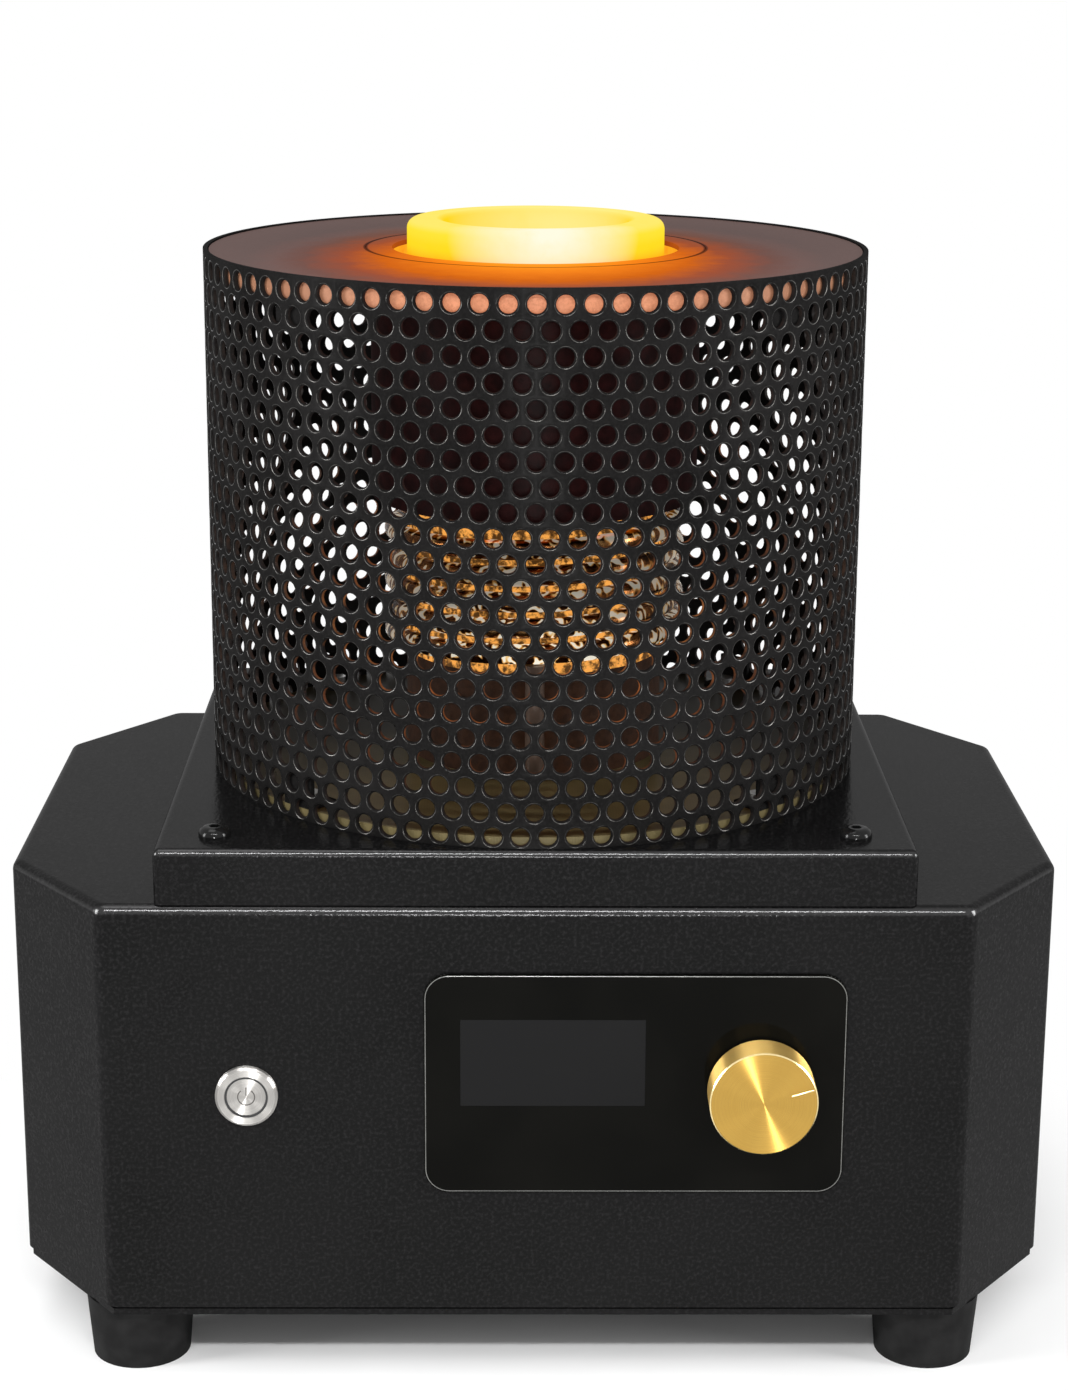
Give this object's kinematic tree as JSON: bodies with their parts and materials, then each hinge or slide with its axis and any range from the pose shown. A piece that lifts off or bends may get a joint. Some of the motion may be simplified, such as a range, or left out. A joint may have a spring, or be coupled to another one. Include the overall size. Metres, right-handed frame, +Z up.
{
  "type": "induction melting furnace",
  "caption": "Desktop induction furnace: black faceted case on rubber feet with a screen, knob and button, a raised plinth, and a round perforated guard about a coil and crucible.",
  "frame": {"origin": "on the bench, under the middle of the whole object's length and depth", "axes": "+Z up, +Y towards the rear wall, +X to the right of someone facing the control panel"},
  "size_m": [0.32, 0.2292, 0.3415],
  "materials": {
    "rubber": "matt moulded rubber",
    "zinc_steel": "zinc-plated, satin",
    "black_coat": "fine-textured black powder coat",
    "black_screw": "black oxide, satin",
    "guard_coat": "satin charcoal coat",
    "lid_stone": "matt grey-brown, warm near the mouth",
    "refractory": "matt dark fired clay",
    "crucible_hot": "glowing yellow, matt",
    "liner_clay": "matt off-white",
    "board_olive": "satin olive laminate",
    "copper": "bright drawn copper",
    "green_board": "satin solder mask",
    "film_capacitor": "satin resin",
    "can_sleeve": "glossy sleeve",
    "black_plastic": "moulded, satin",
    "alloy": "extruded, satin",
    "chrome_wire": "bright plated wire",
    "panel_gloss": "glossy black",
    "screen_gloss": "glossy dark grey, unlit",
    "knob_brass": "circular brushed face, polished bevel",
    "nickel": "turned nickel-plated steel"
  },
  "bodies": {
    "furnace": {"rubber_feet": "rubber", "foot_screws": "zinc_steel", "foot_nuts": "zinc_steel", "base_screws": "zinc_steel", "bracket_screws": "zinc_steel", "terminal_screws": "zinc_steel", "inlet_screws": "zinc_steel", "fan_screws": "zinc_steel", "button_nut": "zinc_steel", "encoder_nut": "zinc_steel", "board_posts": "zinc_steel", "bank_posts": "zinc_steel", "control_posts": "zinc_steel", "plinth_spacers": "zinc_steel", "inlet_pins": "zinc_steel", "button_spring": "zinc_steel", "case_shell": "black_coat", "plinth_cover": "black_coat", "base_plate": "black_coat", "side_blocks": "black_coat", "plinth_screws": "black_screw", "perforated_guard": "guard_coat", "guard_brackets": "guard_coat", "lid_lugs": "guard_coat", "crucible_liner": "liner_clay", "crucible_pedestal": "liner_clay", "coil_standoffs": "liner_clay", "lead_bushings": "liner_clay", "floor_board": "board_olive", "capacitor_board": "board_olive", "induction_coil": "copper", "coil_terminals": "copper", "inverter_board": "green_board", "control_board": "green_board", "tank_capacitors": "film_capacitor", "line_choke": "film_capacitor", "bulk_capacitors": "can_sleeve", "power_transistors": "black_plastic", "bridge_rectifier": "black_plastic", "fan_frame": "black_plastic", "mains_inlet": "black_plastic", "display_module": "black_plastic", "encoder_body": "black_plastic", "button_switch": "black_plastic", "heat_sink": "alloy", "fan_grille": "chrome_wire", "control_panel": "panel_gloss", "screen_window": "screen_gloss", "button_bezel": "nickel"},
    "crucible": {"crucible": "crucible_hot"},
    "lid": {"lid_plate": "lid_stone", "refractory_sleeve": "refractory"},
    "collar": {"collar_ring": "lid_stone"},
    "button": {"button_cap": "nickel"},
    "plunger": {"encoder_plunger": "black_plastic"},
    "knob": {"knob": "knob_brass", "encoder_shaft": "zinc_steel", "knob_grub_screw": "zinc_steel"},
    "fan_rotor": {"fan_rotor": "black_plastic"}
  },
  "joints": [
    {"name": "crucible_lift", "type": "slide", "parent": "furnace", "child": "crucible", "axis": [0, 0, 1], "range_m": [0, 0.16]},
    {"name": "lid_lift", "type": "slide", "parent": "furnace", "child": "lid", "axis": [0, 0, 1], "range_m": [0, 0.1]},
    {"name": "collar_lift", "type": "slide", "parent": "lid", "child": "collar", "axis": [0, 0, 1], "range_m": [0, 0.05]},
    {"name": "button_press", "type": "slide", "parent": "furnace", "child": "button", "axis": [0, 1, 0], "range_m": [0, 0.0015], "stiffness_N_per_m": 500, "springref_m": -0.002, "deforming": ["button_spring"]},
    {"name": "knob_press", "type": "slide", "parent": "furnace", "child": "plunger", "axis": [0, 1, 0], "range_m": [0, 0.0005], "stiffness_N_per_m": 3000, "springref_m": -0.0008},
    {"name": "knob_turn", "type": "hinge", "parent": "plunger", "child": "knob", "pos_m": [0.0672, -0.1, 0.096], "axis": [0, 1, 0], "continuous": true},
    {"name": "fan_spin", "type": "hinge", "parent": "furnace", "child": "fan_rotor", "pos_m": [0.08, 0.0926, 0.0685], "axis": [0, 1, 0], "continuous": true}
  ]
}
